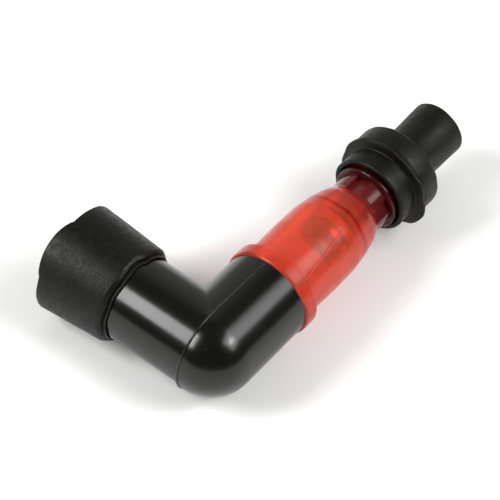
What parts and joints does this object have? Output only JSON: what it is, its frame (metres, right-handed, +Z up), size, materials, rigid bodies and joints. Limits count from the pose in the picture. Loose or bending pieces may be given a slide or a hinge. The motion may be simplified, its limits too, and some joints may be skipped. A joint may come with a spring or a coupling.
{
  "type": "right-angle spark plug cap",
  "caption": "Right-angle resistor spark plug cap with a push-on plug boot, clear red cover and cable boot, joining an ignition cable to a spark plug.",
  "frame": {"origin": "outer end of the plug boot's seal bore, on the plug arm's axis", "axes": "+X along the cable arm from the corner to the cable, +Y out of the plug boot's mouth, +Z up, square to the elbow's plane"},
  "size_m": [0.0925, 0.0496, 0.025],
  "materials": {
    "phenolic": "glossy black phenolic",
    "boot_rubber": "matt black moulded rubber",
    "seal_rubber": "plain black rubber",
    "clear_red": "translucent milky red, glossy",
    "brass": "turned brass",
    "nickel_brass": "nickel plated",
    "plated_steel": "zinc plated",
    "spring_steel": "drawn wire",
    "ceramic": "unglazed ceramic",
    "insulator": "milky insulating plastic"
  },
  "bodies": {
    "housing": {"elbow_housing": "phenolic", "plug_socket": "brass", "socket_clip": "spring_steel", "socket_washer": "spring_steel", "socket_screw": "brass", "corner_contact": "brass", "contact_spring": "spring_steel"},
    "plug_boot": {"plug_boot": "boot_rubber"},
    "cover": {"cover": "clear_red", "cover_seal": "seal_rubber", "inner_end_cap": "nickel_brass", "outer_end_cap": "nickel_brass", "resistor_rod": "ceramic", "resistor_sleeve": "insulator", "terminal_spring": "spring_steel", "terminal_nut": "brass", "cable_terminal": "brass", "cable_guide": "insulator", "cable_screw": "plated_steel"},
    "cable_boot": {"cable_boot": "boot_rubber"}
  },
  "joints": [
    {"name": "plug_boot_pull", "type": "slide", "parent": "housing", "child": "plug_boot", "axis": [0, 1, 0], "range_m": [0, 0.012]},
    {"name": "cover_pull", "type": "slide", "parent": "housing", "child": "cover", "axis": [1, 0, 0], "range_m": [0, 0.014]},
    {"name": "cable_boot_pull", "type": "slide", "parent": "cover", "child": "cable_boot", "axis": [1, 0, 0], "range_m": [0, 0.016]}
  ]
}
